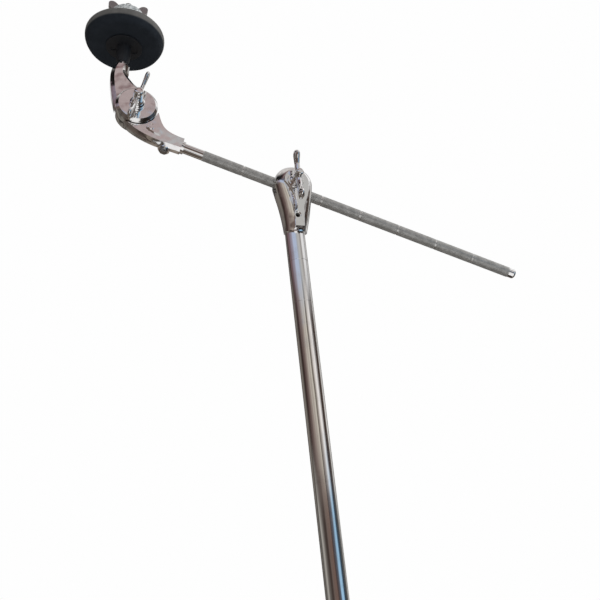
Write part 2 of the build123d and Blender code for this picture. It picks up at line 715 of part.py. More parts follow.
with BuildPart() as upper_arm:
    top_left = post_plane.from_local_coords((-HORN_HALF, 0, 0))
    top_right = post_plane.from_local_coords((HORN_HALF, 0, 0))
    left = (top_left.X - HINGE_X, top_left.Z - HINGE_Z)
    right = (top_right.X - HINGE_X, top_right.Z - HINGE_Z)
    with BuildSketch(hinge):
        with BuildLine():
            Spline((-22.4, -8.0), (-26.4, 10.0), (-28.3, 30.0), (-27.8, 48.0), left)
            Line(left, right)
            Spline(right, (-10.2, 48.5), (-6.2, 40.5), (1.0, 32.0), (12.0, 24.0), (20.0, 14.5))
            Polyline((20.0, 14.5), (0, 0), (-22.4, -8.0))
        make_face()
    extrude(amount=HORN_HALF, both=True)
    long_edges = upper_arm.edges().filter_by(lambda e: e.length > 36)
    chamfer(long_edges.filter_by(lambda e: abs(abs(e.center().Y) - HORN_HALF) < 0.1), 4.4)
    # room for the rear disc
    with BuildSketch(hinge.offset(DISC_SEAM + 3.0)):
        Circle(REAR_DISC_R + 1.4)
    extrude(amount=-20, mode=Mode.SUBTRACT)
    with BuildSketch(hinge.offset(-DISC_SEAM)):
        Circle(DISC_R)
    extrude(amount=-DISC_FRONT + DISC_SEAM)
    front_rim = upper_arm.edges().filter_by(GeomType.CIRCLE).filter_by(lambda e: abs(e.radius - DISC_R) < 0.1)
    chamfer(front_rim.sort_by(Axis.Y)[0], 3.0)
    # round top of the horn
    with BuildSketch(post_section.offset(-9)):
        Circle(HORN_HALF)
    extrude(amount=15)
    fillet(upper_arm.faces().sort_by(Axis((0, 0, 0), post_section.z_dir))[-1].edges(), 3.5)
    with BuildSketch(post_section.offset(-8)):
        Circle(POST_R)
    extrude(amount=30, mode=Mode.SUBTRACT)
    with BuildSketch(hinge):
        Circle(BOLT_R + FIT)
    extrude(amount=30, both=True, mode=Mode.SUBTRACT)
save(upper_arm, "upper_arm")

with BuildPart() as tilter_washer:
    with BuildSketch(hinge.offset(-DISC_FRONT)):
        Circle(8.4)
        Circle(BOLT_R + FIT, mode=Mode.SUBTRACT)
    extrude(amount=4.6)
    rim = tilter_washer.edges().filter_by(GeomType.CIRCLE).sort_by(Axis.Y)[:2]
    chamfer(rim.filter_by(lambda e: e.radius > 8), 1.5)
save(tilter_washer, "tilter_washer")

tilter_wing_bolt = wing_bolt(front(HINGE_X, HINGE_Z, DISC_FRONT - 4.7, 71), BOLT_R, 36.0, span=33.0)
save(tilter_wing_bolt, "tilter_wing_bolt")

with BuildPart() as tilter_nut:
    with BuildSketch(hinge.offset(-DISC_REAR)):
        RegularPolygon(7.4, 6)
    extrude(amount=-6.0)
    with BuildSketch(hinge.offset(-DISC_REAR - 6.0)):
        Circle(6.0)
    extrude(amount=-4.0, taper=25)
    with BuildSketch(hinge.offset(-DISC_REAR)):
        Circle(BOLT_R + FIT)
    extrude(amount=-8.0, mode=Mode.SUBTRACT)
save(tilter_nut, "tilter_nut")

# ---------------------------------------------------------------- cymbal seat
SLEEVE_TOP = PAD_Z[1] + 2 * FELT_T + 0.2
WASHER_T = 1.6                   # seat washer under the foam
BOSS_FOOT = 6.2                  # height of the washer's foot on the horn

with BuildPart() as cymbal_post:
    with BuildSketch(post_section.offset(-8)):
        Circle(POST_R)
    extrude(amount=POST_TIP + 8)
    chamfer(cymbal_post.faces().sort_by(Axis((0, 0, 0), post_section.z_dir))[-1].edges(), 1.0)
save(cymbal_post, "cymbal_post")

with BuildPart() as seat_washer:
    with BuildSketch(post_section.offset(PAD_Z[0] - WASHER_T)):
        Circle(21)
        Circle(POST_R + FIT, mode=Mode.SUBTRACT)
    extrude(amount=WASHER_T)
    # boss that stands on the horn
    with BuildSketch(post_section.offset(PAD_Z[0] - WASHER_T)):
        Circle(8.4)
        Circle(POST_R + FIT, mode=Mode.SUBTRACT)
    extrude(amount=-(PAD_Z[0] - WASHER_T - BOSS_FOOT))
    foot = seat_washer.faces().sort_by(Axis((0, 0, 0), post_section.z_dir))[0]
    chamfer(foot.edges().sort_by(SortBy.LENGTH)[-1], 2.0, 8.0, reference=foot)
    fillet(seat_washer.edges().filter_by(GeomType.CIRCLE).filter_by(lambda e: e.radius > 20), 0.6)
    for side in (1, -1):
        with BuildSketch(post_section.offset(PAD_Z[0] - WASHER_T)):
            with Locations((side * 12, 0)):
                RectangleRounded(7, 13, 3)
        extrude(amount=0.9, mode=Mode.SUBTRACT)
save(seat_washer, "seat_washer")

with BuildPart() as cymbal_sleeve:
    with BuildSketch(post_section.offset(PAD_Z[0])):
        Circle(6.2)
        Circle(POST_R + FIT, mode=Mode.SUBTRACT)
    extrude(amount=SLEEVE_TOP - PAD_Z[0])
save(cymbal_sleeve, "cymbal_sleeve")


def soft_ring(radius, bottom, thick, edge):
    """Plain ring of foam or felt round the sleeve."""
    with BuildPart() as ring:
        with BuildSketch(post_section.offset(bottom)):
            Circle(radius)
        extrude(amount=thick)
        fillet(ring.edges().filter_by(GeomType.CIRCLE), edge)
        with BuildSketch(post_section.offset(bottom - 1)):
            Circle(6.5)
        extrude(amount=thick + 2, mode=Mode.SUBTRACT)
    return ring


with BuildPart() as foam_pad:
    with BuildSketch(post_section.offset(PAD_Z[0] + 0.1)):
        Circle(PAD_R)
    extrude(amount=PAD_Z[1] - PAD_Z[0] - 0.2)
    rims = foam_pad.edges().filter_by(GeomType.CIRCLE).sort_by(Axis((0, 0, 0), post_section.z_dir))
    underside = foam_pad.faces().sort_by(Axis((0, 0, 0), post_section.z_dir))[0]
    chamfer(rims[0], PAD_BEVEL[0], PAD_BEVEL[1], reference=underside)
    fillet(rims[-1], 4.0)
    with BuildSketch(post_section.offset(PAD_Z[0] - 1)):
        Circle(6.5)
    extrude(amount=PAD_Z[1] - PAD_Z[0] + 2, mode=Mode.SUBTRACT)
save(foam_pad, "foam_pad")
lower_felt = soft_ring(FELT_R, PAD_Z[1] + 0.1, FELT_T - 0.2, 2.0)
save(lower_felt, "lower_felt")
upper_felt = soft_ring(FELT_R, PAD_Z[1] + FELT_T + 0.1, FELT_T - 0.2, 2.0)
save(upper_felt, "upper_felt")

NUT_SEAT = SLEEVE_TOP + 0.3
with BuildPart() as wing_nut:
    nut_plane = post_section.offset(NUT_SEAT)
    with BuildSketch(nut_plane):
        Circle(9.0)
    extrude(amount=2.0)
    with BuildSketch(nut_plane.offset(2.0)):
        Circle(7.0)
    extrude(amount=8.0, taper=6)
    nut_origin = post_plane.from_local_coords((0, NUT_SEAT, 0))
    blade_plane = Plane(origin=nut_origin, x_dir=post_plane.x_dir, z_dir=post_plane.z_dir)
    for side in (1, -1):
        with BuildSketch(blade_plane):
            with BuildLine():
                Spline((side * 3.0, 2.0), (side * 11.0, 2.2), (side * 18.5, 3.0), (side * 22.4, 7.0),
                       (side * 22.0, 14.6), (side * 17.5, 15.4), (side * 10.5, 9.6), (side * 3.0, 8.6))
                Line((side * 3.0, 8.6), (side * 3.0, 2.0))
            make_face()
        extrude(amount=2.6, both=True)
    with BuildSketch(post_section.offset(NUT_SEAT - 1)):
        Circle(POST_R + FIT)
    extrude(amount=40, mode=Mode.SUBTRACT)
save(wing_nut, "wing_nut")
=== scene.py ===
import json
import math

import bmesh
import bpy
from mathutils import Matrix, Vector, noise


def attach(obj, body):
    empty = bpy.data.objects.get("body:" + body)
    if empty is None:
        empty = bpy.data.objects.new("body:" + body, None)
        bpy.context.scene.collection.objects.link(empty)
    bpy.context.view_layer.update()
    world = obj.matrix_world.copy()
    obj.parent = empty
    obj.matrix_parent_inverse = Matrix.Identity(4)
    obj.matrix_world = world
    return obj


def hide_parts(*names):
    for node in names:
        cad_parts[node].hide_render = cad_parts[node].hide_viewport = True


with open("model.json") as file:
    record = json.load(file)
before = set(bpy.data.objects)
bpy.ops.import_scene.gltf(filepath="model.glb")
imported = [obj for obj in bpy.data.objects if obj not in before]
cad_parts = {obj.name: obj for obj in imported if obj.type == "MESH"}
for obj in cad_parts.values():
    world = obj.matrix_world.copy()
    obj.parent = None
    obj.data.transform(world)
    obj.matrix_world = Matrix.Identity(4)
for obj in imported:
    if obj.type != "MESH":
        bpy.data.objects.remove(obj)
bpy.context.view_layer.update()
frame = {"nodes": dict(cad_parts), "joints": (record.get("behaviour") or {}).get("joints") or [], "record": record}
NODES = frame["nodes"]
JOINTS = {joint["name"]: joint for joint in frame["joints"]}

MM = 0.001


# ---------------------------------------------------------------- places taken from the frame
def joint_point(name):
    return Vector(JOINTS[name]["pos_m"])


def joint_axis(name):
    return Vector(JOINTS[name]["axis"]).normalized()


def axes(origin, along, sideways):
    """Matrix whose local z runs along a direction and whose local x is as near to sideways as it can be."""
    z = along.normalized()
    x = (sideways - sideways.dot(z) * z).normalized()
    y = z.cross(x)
    return Matrix.Translation(origin) @ Matrix((x, y, z)).transposed().to_4x4()


PIVOT = joint_point("boom_tilt")
BOOM_AXIS = joint_axis("boom_slide")            # from the pivot towards the cymbal
POST_BASE = joint_point("wing_nut_turn")
POST_AXIS = joint_axis("wing_nut_turn")
FRONT = Vector((0, -1, 0))                      # the side of the wing bolts

POST = axes(POST_BASE, POST_AXIS, FRONT)

# foam seat and felts in millimetres, with heights along the post
PAD_R = 46.3
PAD_LOW, PAD_HIGH = 31.6, 49.3
PAD_BEVEL = (4.6, 9.0)                          # the foam narrows towards its underside
PAD_LIT_RIM = (6.9, 9.4)                            # at this height the dark foam gives way to a paler rim colour: painted light on the side wall, with a little wear
FELT_R = 20.0
FELT_T = 16.3
SOFT_BORE = 6.5
SOFT_GAP = 0.1                                  # room between two soft pieces

# the boom, seen along its length: distance from the pivot towards the cymbal, in metres
KNURL_END = 107.7 * MM
RING_FIRST = 59.4 * MM
RING_PITCH = 48.3 * MM
GROOVE_EDGE = (0.9 * MM, 1.2 * MM)              # a ring groove fades out between these, from its middle
KNURL_EDGE = 0.1 * MM

THREAD_PITCH = 1.25 * MM                        # of the cymbal post
RIB_PITCH = 4.2 * MM                            # of the grip rings on the rubber feet
RIB_START = (4 * MM, 5 * MM)                    # the rings begin at this height above the floor


# ---------------------------------------------------------------- node helpers
class Graph:
    """Short calls for building a shader's node tree."""

    def __init__(self, tree):
        self.tree = tree

    def node(self, kind, **settings):
        made = self.tree.nodes.new(kind)
        for name, value in settings.items():
            setattr(made, name, value)
        return made

    def feed(self, socket, value):
        if isinstance(value, bpy.types.NodeSocket):
            self.tree.links.new(value, socket)
        else:
            socket.default_value = value

    def math(self, operation, *values):
        made = self.node("ShaderNodeMath", operation=operation)
        for socket, value in zip(made.inputs, values):
            self.feed(socket, value)
        return made.outputs[0]

    def mix(self, share, first, second):
        """Blend of two colours, from the first at share 0 to the second at share 1."""
        made = self.node("ShaderNodeMix", data_type="RGBA")
        self.feed(made.inputs[0], share)
        for socket, value in ((made.inputs[6], first), (made.inputs[7], second)):
            self.feed(socket, value if isinstance(value, bpy.types.NodeSocket) else (*value, 1))
        return made.outputs[2]

    def step(self, value, low, high, bottom=0.0, top=1.0):
        """Smooth step of a value between low and high."""
        made = self.node("ShaderNodeMapRange", interpolation_type="SMOOTHSTEP")
        for socket, number in zip(made.inputs, (value, low, high, bottom, top)):
            self.feed(socket, number)
        return made.outputs[0]

    def ramp(self, value, stops):
        """Colour ramp through (place, colour) stops."""
        made = self.node("ShaderNodeValToRGB")
        self.feed(made.inputs[0], value)
        elements = made.color_ramp.elements
        while len(elements) < len(stops):
            elements.new(0.5)
        for element, (place, colour) in zip(elements, stops):
            element.position = place
            element.color = (*colour, 1)
        return made.outputs[0]

    def noise(self, vector, scale, detail=2.0, roughness=0.5):
        made = self.node("ShaderNodeTexNoise")
        self.feed(made.inputs["Vector"], vector)
        made.inputs["Scale"].default_value = scale
        made.inputs["Detail"].default_value = detail
        made.inputs["Roughness"].default_value = roughness
        return made.outputs["Fac"]

    def stretched(self, vector, scale):
        made = self.node("ShaderNodeVectorMath", operation="MULTIPLY")
        self.feed(made.inputs[0], vector)
        made.inputs[1].default_value = scale
        return made.outputs[0]

    def along(self, place, origin, direction):
        """Distance of a place from an origin, measured along a direction."""
        offset = self.node("ShaderNodeVectorMath", operation="SUBTRACT")
        self.feed(offset.inputs[0], place)
        offset.inputs[1].default_value = origin
        made = self.node("ShaderNodeVectorMath", operation="DOT_PRODUCT")
        self.feed(made.inputs[0], offset.outputs[0])
        made.inputs[1].default_value = direction
        return made.outputs["Value"]

    def bump(self, height, distance, normal=None):
        made = self.node("ShaderNodeBump")
        made.inputs["Strength"].default_value = 1.0
        made.inputs["Distance"].default_value = distance
        self.feed(made.inputs["Height"], height)
        if normal is not None:
            self.feed(made.inputs["Normal"], normal)
        return made.outputs[0]


def srgb(red, green, blue):
    """Linear colour from the usual 0 to 255 values."""
    def linear(value):
        share = value / 255
        return share / 12.92 if share <= 0.04045 else ((share + 0.055) / 1.055) ** 2.4
    return (linear(red), linear(green), linear(blue))


def new_material(name, colour, roughness, metallic=0.0):
    """Principled material with its graph, its shader and the object's own coordinates."""
    material = bpy.data.materials.new(name)
    material.use_nodes = True
    graph = Graph(material.node_tree)
    shader = material.node_tree.nodes["Principled BSDF"]
    shader.inputs["Base Color"].default_value = (*colour, 1)
    shader.inputs["Roughness"].default_value = roughness
    shader.inputs["Metallic"].default_value = metallic
    place = graph.node("ShaderNodeTexCoord").outputs["Object"]
    return material, graph, shader, place


# ---------------------------------------------------------------- materials
CHROME_TINT = (0.93, 0.92, 0.915)


def chrome(name, ripple, grain):
    """Plated metal: mirror-like, with soft smudges, a slight waviness and hair scratches.

    Ripple and grain stretch the waves and the scratches along each axis."""
    material, graph, shader, place = new_material(name, CHROME_TINT, 0.06, 1.0)
    smudge = graph.noise(place, 60, 4, 0.6)
    scratch = graph.noise(graph.stretched(place, grain), 900, 3, 0.7)
    rough = graph.step(smudge, 0.42, 0.72, 0.035, 0.11)
    graph.feed(shader.inputs["Roughness"], graph.math("MULTIPLY_ADD", scratch, 0.03, rough))
    dull = tuple(0.86 * value for value in CHROME_TINT)
    graph.feed(shader.inputs["Base Color"], graph.mix(graph.step(smudge, 0.5, 0.8), CHROME_TINT, dull))
    wave = graph.noise(graph.stretched(place, ripple), 38, 2, 0.5)
    soft = graph.bump(wave, 0.0009)
    graph.feed(shader.inputs["Normal"], graph.bump(scratch, 0.000004, soft))
    return material


chrome_tube = chrome("chrome_tube", (1.0, 1.0, 0.22), (1.0, 1.0, 0.05))
chrome_cast = chrome("chrome_cast", (1.0, 1.0, 1.0), (1.0, 1.0, 1.0))


def plain(name, colour, roughness, metallic=0.0):
    """Even surface with a fine grain and slightly darker patches."""
    material, graph, shader, place = new_material(name, colour, roughness, metallic)
    grain = graph.noise(place, 1500, 3, 0.6)
    patch = graph.noise(place, 45, 3, 0.5)
    darker = tuple(0.8 * value for value in colour)
    graph.feed(shader.inputs["Base Color"], graph.mix(patch, colour, darker))
    graph.feed(shader.inputs["Roughness"], graph.math("MULTIPLY_ADD", grain, 0.12, roughness - 0.06))
    graph.feed(shader.inputs["Normal"], graph.bump(grain, 0.00002))
    return material


satin_steel = plain("satin_steel", (0.5, 0.5, 0.49), 0.34, 1.0)
black_nylon = plain("black_nylon", (0.010, 0.0125, 0.017), 0.55)
black_oxide = plain("black_oxide", (0.16, 0.15, 0.14), 0.3, 1.0)


def foam_finish():
    """Closed-cell foam: matt blue-black with fine pores, and a paler rim colour that is painted light on its side
    wall, with a little wear.
    """
    material, graph, shader, place = new_material("foam", (0.012, 0.013, 0.015), 0.85)
    pores = graph.node("ShaderNodeTexVoronoi")
    graph.feed(pores.inputs["Vector"], place)
    pores.inputs["Scale"].default_value = 1500
    cells = pores.outputs["Distance"]
    patch = graph.noise(place, 70, 4, 0.6)
    mottle = graph.step(patch, 0.3, 0.75)
    skin = graph.mix(mottle, (0.0078, 0.0122, 0.0185), (0.0118, 0.017, 0.0245))
    # painted light: the rim colour, much paler than the foam, stands in for light falling on the side wall, with a
    # little wear
    lit_rim = graph.mix(mottle, (0.088, 0.087, 0.086), (0.125, 0.123, 0.12))
    height = graph.along(place, POST_BASE, POST_AXIS)
    # above this height the foam takes the painted-light rim colour
    lit_rim_mask = graph.step(height, (PAD_LOW + PAD_LIT_RIM[0]) * MM, (PAD_LOW + PAD_LIT_RIM[1]) * MM)
    graph.feed(shader.inputs["Base Color"], graph.mix(lit_rim_mask, skin, lit_rim))
    grain = graph.noise(place, 2600, 3, 0.7)
    rough = graph.math("ADD", graph.math("MULTIPLY", cells, 0.6), graph.math("MULTIPLY", grain, 0.6))
    graph.feed(shader.inputs["Normal"], graph.bump(rough, 0.00018))
    shader.inputs["Specular IOR Level"].default_value = 0.3
    return material


def felt_finish():
    """Pressed wool: pale grey, mottled with darker tufts and fine fibres."""
    material, graph, shader, place = new_material("wool_felt", (0.5, 0.52, 0.54), 0.95)
    tufts = graph.noise(place, 420, 4, 0.7)
    fibres = graph.noise(graph.stretched(place, (1.0, 1.0, 3.5)), 1300, 4, 0.75)
    pale = graph.mix(graph.step(fibres, 0.35, 0.65), (0.38, 0.41, 0.43), (0.72, 0.74, 0.75))
    colour = graph.mix(graph.step(tufts, 0.36, 0.56), (0.10, 0.12, 0.13), pale)
    graph.feed(shader.inputs["Base Color"], colour)
    height = graph.math("ADD", graph.math("MULTIPLY", tufts, 1.2), fibres)
    graph.feed(shader.inputs["Normal"], graph.bump(height, 0.0006))
    shader.inputs["Sheen Weight"].default_value = 0.35
    shader.inputs["Sheen Roughness"].default_value = 0.5
    shader.inputs["Specular IOR Level"].default_value = 0.1
    return material


def rubber_finish():
    """Moulded rubber with shallow grip rings."""
    material, graph, shader, place = new_material("foot_rubber", (0.016, 0.016, 0.016), 0.6)
    parts = graph.node("ShaderNodeSeparateXYZ")
    graph.feed(parts.inputs[0], place)
    rings = graph.math("SINE", graph.math("MULTIPLY", parts.outputs[2], 2 * math.pi / RIB_PITCH))
    ribbed = graph.math("MULTIPLY", graph.step(rings, -0.4, 0.4), graph.step(parts.outputs[2], *RIB_START))
    grain = graph.noise(place, 1800, 3, 0.6)
    dust = graph.noise(place, 60, 4, 0.6)
    colour = graph.mix(graph.step(dust, 0.45, 0.8), (0.015, 0.015, 0.015), (0.045, 0.043, 0.04))
    graph.feed(shader.inputs["Base Color"], colour)
    graph.feed(shader.inputs["Normal"], graph.bump(ribbed, 0.0004, graph.bump(grain, 0.00004)))
    return material


def post_finish():
    """Plated steel with a fine thread along the cymbal post."""
    material, graph, shader, place = new_material("threaded_steel", (0.7, 0.69, 0.68), 0.2, 1.0)
    height = graph.along(place, POST_BASE, POST_AXIS)
    turns = graph.math("SINE", graph.math("MULTIPLY", height, 2 * math.pi / THREAD_PITCH))
    graph.feed(shader.inputs["Normal"], graph.bump(turns, 0.0003))
    return material


black_foam = foam_finish()
felt = felt_finish()
rubber = rubber_finish()
post_steel = post_finish()


def rod_finish():
    """Satin knurled steel with turned grooves and a bright plain end."""
    material, graph, shader, place = new_material("rod_steel", (0.62, 0.62, 0.61), 0.3, 1.0)
    run = graph.along(place, PIVOT, BOOM_AXIS)
    turn = graph.math("ARCTAN2", graph.along(place, PIVOT, BOOM_AXIS.cross(FRONT)),
                      graph.along(place, PIVOT, FRONT))
    # two crossed sets of fine ridges
    lean = graph.math("MULTIPLY", run, 5200.0)
    spin = graph.math("MULTIPLY", turn, 34.0)
    right = graph.math("SINE", graph.math("ADD", lean, spin))
    left = graph.math("SINE", graph.math("SUBTRACT", lean, spin))
    ridges = graph.math("MULTIPLY", right, left)
    cell = graph.math("PINGPONG", graph.math("SUBTRACT", run, RING_FIRST), RING_PITCH / 2)
    groove = graph.step(cell, *GROOVE_EDGE, 1.0, 0.0)
    plain_end = graph.step(run, KNURL_END - KNURL_EDGE, KNURL_END + KNURL_EDGE)
    bright = graph.math("MAXIMUM", graph.math("MULTIPLY", groove, 0.45), plain_end)
    knurled = graph.math("SUBTRACT", 1.0, bright)
    worn = graph.noise(place, 160, 3, 0.6)
    satin = graph.math("MULTIPLY_ADD", worn, 0.1, 0.3)
    graph.feed(shader.inputs["Roughness"], graph.math("MULTIPLY_ADD", knurled, satin, 0.06))
    graph.feed(shader.inputs["Metallic"], graph.math("MULTIPLY_ADD", bright, 0.4, 0.6))
    dusty = graph.mix(graph.step(worn, 0.35, 0.7), (0.43, 0.43, 0.42), (0.32, 0.32, 0.31))
    graph.feed(shader.inputs["Base Color"], graph.mix(bright, dusty, (0.92, 0.91, 0.9)))
    graph.feed(shader.inputs["Normal"], graph.bump(graph.math("MULTIPLY", ridges, knurled), 0.00002))
    return material


rod_steel = rod_finish()

SLOT_MATERIALS = {
    "chrome": chrome_cast, "satin_steel": satin_steel, "black_nylon": black_nylon, "black_foam": black_foam,
    "felt": felt, "rubber": rubber, "badge": chrome_cast,
}
# nodes whose finish differs from the rest of their slot
NODE_MATERIALS = {
    "base_tube": chrome_tube, "middle_tube": chrome_tube, "upper_tube": chrome_tube,
    "boom_rod": rod_steel, "cymbal_post": post_steel, "head_screw": black_oxide, "wing_nut": satin_steel,
}
# width in millimetres of the broken edges on cast or stamped nodes
EDGES = {
    0.2: ["boom_casting", "arm_badge"],
    0.3: ["seat_washer"],
    0.4: ["boom_washer", "tilter_washer", "rod_key_bolt", "middle_lock_bolt", "upper_lock_bolt", "leg_pins",
          "brace_pins", "base_bushing", "upper_bushing"],
    0.5: ["tilter_nut", "base_clamp_nut", "upper_clamp_nut"],
    0.7: ["lower_arm"],
    0.8: ["upper_arm", "tripod_collar", "lower_bracket", "middle_lock", "upper_lock"],
    1.0: ["wing_nut"],
    1.2: ["base_clamp", "upper_clamp"],
}
for side in (1, 2, 3):
    EDGES[0.4] += [f"brace_{side}", f"leg_rivet_{side}"]
    EDGES[0.5].append(f"leg_{side}")


def break_edges(target, width):
    """Rounds the sharp edges of a CAD object; its own mesh stays as it is."""
    weld = target.modifiers.new("weld", "WELD")
    weld.merge_threshold = 0.00001
    bevel = target.modifiers.new("edges", "BEVEL")
    bevel.width = width * MM
    bevel.segments = 3
    bevel.limit_method = "ANGLE"
    bevel.angle_limit = math.radians(32)
    bevel.use_clamp_overlap = True
    bevel.harden_normals = True


for width, names in EDGES.items():
    for name in names:
        break_edges(NODES[name], width)

for entry in frame["record"]["subparts"]:
    target = NODES[entry["node"]]
    target.data.materials.clear()
    target.data.materials.append(NODE_MATERIALS.get(entry["node"], SLOT_MATERIALS[entry["material_slot"]]))


# ---------------------------------------------------------------- pieces
def keep_piece(name, mesh, material, body, node):
    """Adds a finished mesh as a piece that rides on a body and stands for a CAD node."""
    mesh.name = name
    mesh.materials.clear()
    mesh.materials.append(material)
    mesh.polygons.foreach_set("use_smooth", [True] * len(mesh.polygons))
    piece = bpy.data.objects.new(name, mesh)
    bpy.context.scene.collection.objects.link(piece)
    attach(piece, body)
    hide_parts(node)
    return piece


CORNER_STEPS = 6


def rounded(corners):
    """Profile through (radius, height) corners in millimetres; a third number rounds that corner."""
    line = []
    count = len(corners)
    for index, corner in enumerate(corners):
        here = Vector(corner[:2])
        if len(corner) == 2:
            line.append(here)
            continue
        before = Vector(corners[index - 1][:2]) - here
        after = Vector(corners[(index + 1) % count][:2]) - here
        start = here + before.normalized() * corner[2]
        end = here + after.normalized() * corner[2]
        for step in range(CORNER_STEPS + 1):
            share = step / CORNER_STEPS
            line.append(start.lerp(here, share).lerp(here.lerp(end, share), share))
    return line


def refine(line, spacing):
    """The same closed profile with points no further apart than the spacing, in millimetres."""
    fine = []
    for start, end in zip(line, line[1:] + [line[0]]):
        parts = max(1, math.ceil((end - start).length / spacing))
        fine += [start.lerp(end, part / parts) for part in range(parts)]
    return fine


def lathe(line, turns, closed=True, wobble=None):
    """Mesh turned about local z from a profile in millimetres; wobble moves each point by a small vector."""
    work = bmesh.new()
    rows = []
    for step in range(turns):
        angle = 2 * math.pi * step / turns
        row = []
        for point in line:
            place = Vector((point.x * math.cos(angle), point.x * math.sin(angle), point.y))
            if wobble:
                place += wobble(place)
            row.append(work.verts.new(place * MM))
        rows.append(row)
    last = len(line) if closed else len(line) - 1
    for step in range(turns):
        row, other = rows[step], rows[(step + 1) % turns]
        for index in range(last):
            nxt = (index + 1) % len(line)
            work.faces.new((row[index], other[index], other[nxt], row[nxt]))
    if not closed:
        for index in (0, -1):
            work.faces.new([row[index] for row in rows])
    bmesh.ops.recalc_face_normals(work, faces=work.faces)
    mesh = bpy.data.meshes.new("turned")
    work.to_mesh(mesh)
    work.free()
    return mesh


def foam_wobble(place):
    """Slight swell and crumple of the foam seat."""
    swell = noise.noise(place * 0.045) * 0.35
    crumple = noise.noise(place * 0.4) * 0.08
    outward = Vector((place.x, place.y, 0)).normalized()
    edge = min(1.0, place.xy.length / PAD_R) ** 2
    return outward * crumple + Vector((0, 0, swell * edge * 0.5))


foam_line = rounded([
    (SOFT_BORE, PAD_LOW + 0.1), (22.0, PAD_LOW + 0.3), (36.0, PAD_LOW + 0.1),
    (PAD_R - PAD_BEVEL[0], PAD_LOW + 0.4, 3.0), (PAD_R, PAD_LOW + PAD_BEVEL[1], 4.0),
    (PAD_R - 0.3, PAD_HIGH - 0.2, 3.4), (36.0, PAD_HIGH), (SOFT_BORE, PAD_HIGH),
])
foam_mesh = lathe(refine(foam_line, 1.1), 220, wobble=foam_wobble)
foam_mesh.transform(POST)
foam = keep_piece("foam_seat", foam_mesh, black_foam, "cymbal_arm", "foam_pad")


# fineness and size of the felt's lumps, from wide ones to small ones
FELT_LUMPS = ((0.16, 0.45), (0.7, 0.22), (1.9, 0.12))


def felt_wobble(seed):
    """Lumps of pressed wool, different for each seed."""
    def move(place):
        at = place + Vector((seed * 31.0, seed * 17.0, 0))
        outward = Vector((place.x, place.y, 0)).normalized()
        lump = sum(noise.noise(at * fineness) * size for fineness, size in FELT_LUMPS)
        return outward * lump * min(1.0, max(0.0, place.xy.length - 8.0) / 4.0)
    return move


for number, (label, node) in enumerate((("felt_below", "lower_felt"), ("felt_above", "upper_felt"))):
    low = PAD_HIGH + SOFT_GAP + number * FELT_T
    high = low + FELT_T - 2 * SOFT_GAP
    felt_line = rounded([
        (SOFT_BORE, low), (FELT_R - 0.5, low + 0.1, 1.8), (FELT_R, (low + high) / 2),
        (FELT_R - 0.5, high - 0.1, 1.8), (SOFT_BORE, high),
    ])
    felt_mesh = lathe(refine(felt_line, 0.7), 180, wobble=felt_wobble(number + 1))
    felt_mesh.transform(POST)
    ring = keep_piece(label, felt_mesh, felt, "cymbal_arm", node)


# cast wing bolts, in the bolt's own axes: x along the wings, z out along the bolt, millimetres
RING_SIDES = 20


def tube_of_rings(work, rings):
    """Closed skin over elliptical rings, each with a centre, an up direction, half height and half depth."""
    rows = []
    for centre, up, half_height, half_depth in rings:
        row = []
        for step in range(RING_SIDES):
            angle = 2 * math.pi * step / RING_SIDES
            aside = Vector((0, half_depth * math.sin(angle), 0))
            row.append(work.verts.new((centre + up * (half_height * math.cos(angle)) + aside) * MM))
        rows.append(row)
    for row, other in zip(rows, rows[1:]):
        for step in range(RING_SIDES):
            nxt = (step + 1) % RING_SIDES
            work.faces.new((row[step], row[nxt], other[nxt], other[step]))
    work.faces.new(rows[0])
    work.faces.new(rows[-1])


# sections along a wing: share of its span, height and half height in millimetres, share of its thickness
WING_STATIONS = (
    (0.0, 8.8, 3.6, 1.0), (0.25, 9.0, 3.5, 0.86), (0.45, 9.4, 3.6, 0.8), (0.62, 10.4, 4.4, 0.9),
    (0.76, 11.6, 5.4, 1.0), (0.87, 12.2, 5.6, 1.0), (0.94, 12.4, 4.9, 0.9), (0.98, 12.5, 3.5, 0.7),
    (1.0, 12.5, 1.2, 0.3),
)
WING_ROOT = 1.0                                 # where a wing starts, from the bolt's axis
WING_LEAN = 0.25                                # how far its tip's section tips towards the axis


def wing_shape(root, span, lobe, thick):
    """Two cast wings that rise from the boss; root is the height of their foot."""
    work = bmesh.new()
    for side in (1, -1):
        rings = []
        for share, height, half, depth in WING_STATIONS:
            centre = Vector((side * (WING_ROOT + share * (span - WING_ROOT)), 0, root + height))
            up = Vector((-side * WING_LEAN * share, 0, 1)).normalized()
            rings.append((centre, up, half * lobe, depth * thick))
        tube_of_rings(work, rings)
    bmesh.ops.recalc_face_normals(work, faces=work.faces)
    mesh = bpy.data.meshes.new("wings")
    work.to_mesh(mesh)
    work.free()
    return mesh


AXIS_R = 0.02                                   # closes a turned profile on its axis
SHANK_R = 3.7
FLANGE_R = 7.1
BOSS_RISE = 14.4                                # from the neck to the top of the boss
VOXEL = 0.42 * MM
SMOOTH_TURNS = 9


def fuse(meshes):
    """One cast skin over overlapping closed meshes, with soft inner corners."""
    work = bmesh.new()
    for mesh in meshes:
        work.from_mesh(mesh)
    joined = bpy.data.meshes.new("joined")
    work.to_mesh(joined)
    work.free()
    maker = bpy.data.objects.new("maker", joined)
    bpy.context.scene.collection.objects.link(maker)
    remesh = maker.modifiers.new("skin", "REMESH")
    remesh.mode = "VOXEL"
    remesh.voxel_size = VOXEL
    remesh.use_smooth_shade = True
    soft = maker.modifiers.new("soft", "SMOOTH")
    soft.factor = 0.5
    soft.iterations = SMOOTH_TURNS
    bpy.context.view_layer.update()
    made = bpy.data.meshes.new_from_object(maker.evaluated_get(bpy.context.evaluated_depsgraph_get()))
    bpy.data.objects.remove(maker)
    return made


